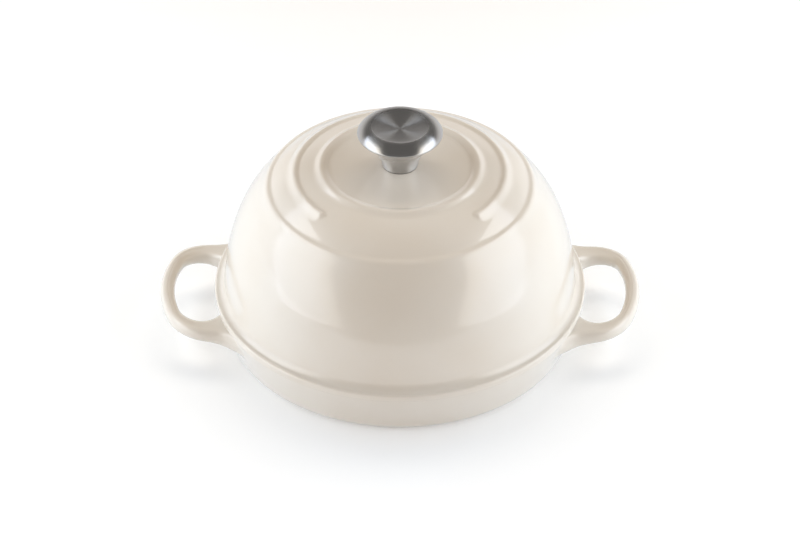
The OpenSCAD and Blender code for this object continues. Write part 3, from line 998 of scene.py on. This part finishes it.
# %% Sheets of light at the sides
PANEL_AWAY = 0.58
FILL_AWAY = 0.57
PANEL_TOP = 0.8
FILL_TOP = 0.7
PANEL_FRONT = -0.95
PANEL_BACK = 0.55
PANEL_LEAN = 0.8
LIT_FROM = -0.95
LIT_TO = -0.1
PANEL_GLOW = (1.2, 2.35)
PANEL_STOPS = [
    (0.0, (0, 0, 0)),
    (0.1, (0.62, 0.58, 0.5)),
    (0.25, (0.9, 0.87, 0.8)),
    (0.4, (1.0, 1.0, 1.0)),
    (0.7, (0.92, 0.97, 1.0)),
    (0.92, (0.75, 0.82, 0.95)),
    (1.0, (0, 0, 0)),
]
FILL_FRONT = -0.6
FILL_BACK = 0.5
FILL_LIGHT = (0.76, 0.88, 1.0)
SIDE_GLOW = 2.81


def new_glow(name):
    """A see-through material that adds its own light to what lies behind it."""
    material = bpy.data.materials.new(name)
    material.use_nodes = True
    tree = material.node_tree
    tree.nodes.remove(tree.nodes["Principled BSDF"])
    glow = tree.nodes.new("ShaderNodeEmission")
    clear = tree.nodes.new("ShaderNodeBsdfTransparent")
    both = tree.nodes.new("ShaderNodeAddShader")
    tree.links.new(glow.outputs[0], both.inputs[0])
    tree.links.new(clear.outputs[0], both.inputs[1])
    tree.links.new(both.outputs[0], tree.nodes["Material Output"].inputs["Surface"])
    return material, tree, glow


def make_panel_glow():
    """A slanted bright field that is warmer at its front edge and grows brighter upwards."""
    material, tree, glow = new_glow("panel_glow")
    place = separate(tree, tree.nodes.new("ShaderNodeNewGeometry").outputs["Position"])
    lean = math_node(tree, "MULTIPLY", place["Z"], PANEL_LEAN)
    across = math_node(tree, "SUBTRACT", place["Y"], lean)
    lit = fade(tree, across, LIT_FROM, LIT_TO, "LINEAR")
    tree.links.new(ramp(tree, lit, PANEL_STOPS), glow.inputs["Color"])
    upwards = tree.nodes.new("ShaderNodeMapRange")
    tree.links.new(place["Z"], upwards.inputs["Value"])
    upwards.inputs["From Max"].default_value = PANEL_TOP
    upwards.inputs["To Min"].default_value = PANEL_GLOW[0]
    upwards.inputs["To Max"].default_value = PANEL_GLOW[1]
    tree.links.new(upwards.outputs["Result"], glow.inputs["Strength"])
    return material


def make_fill_glow():
    material, _, glow = new_glow("fill_glow")
    glow.inputs["Color"].default_value = (*FILL_LIGHT, 1)
    glow.inputs["Strength"].default_value = SIDE_GLOW
    return material


def side_sheet(name, away, front, back, top, material, mirrored):
    """A glowing sheet at one side, which is either only mirrored or only gives light."""
    half = Matrix.Diagonal((top / 2, (back - front) / 2, 1, 1))
    upright = Matrix.Rotation(math.pi / 2, 4, "Y") @ half
    middle = Matrix.Translation((away, (front + back) / 2, top / 2))
    bm = bmesh.new()
    bmesh.ops.create_grid(bm, x_segments=1, y_segments=1, size=1, matrix=middle @ upright)
    mesh = bpy.data.meshes.new(name)
    bm.to_mesh(mesh)
    bm.free()
    mesh.materials.append(material)
    sheet = bpy.data.objects.new(name, mesh)
    bpy.context.scene.collection.objects.link(sheet)
    sheet.visible_camera = False
    sheet.visible_shadow = False
    sheet.visible_glossy = mirrored
    sheet.visible_diffuse = not mirrored
    print(name, "size in m", [round(d, 2) for d in sheet.dimensions])


panel_glow = make_panel_glow()
fill_glow = make_fill_glow()
for side, word in ((-1, "left"), (1, "right")):
    away = side * PANEL_AWAY
    side_sheet(word + "_panel", away, PANEL_FRONT, PANEL_BACK, PANEL_TOP, panel_glow, True)
    away = side * FILL_AWAY
    side_sheet(word + "_fill", away, FILL_FRONT, FILL_BACK, FILL_TOP, fill_glow, False)

# %% Light from above
TOP_GLOW = 2.8


def top_lamp():
    """A soft lamp above and behind that isn't mirrored, for the tops of the handles and the lid."""
    data = bpy.data.lights.new("top_lamp", "AREA")
    data.shape = "RECTANGLE"
    data.size, data.size_y = 1.0, 0.5
    data.energy = TOP_GLOW * math.pi * data.size * data.size_y
    data.color = (1.0, 0.93, 0.82)
    lamp = bpy.data.objects.new("top_lamp", data)
    bpy.context.scene.collection.objects.link(lamp)
    lamp.location = (0, 0.6, 1.15)
    lamp.rotation_euler = (-math.radians(28), 0, 0)
    lamp.visible_glossy = False


top_lamp()

# %% [markdown]
# ## Finish
# The picture keeps the plain view transform.

# %% View settings
bpy.context.scene.view_settings.view_transform = "Standard"
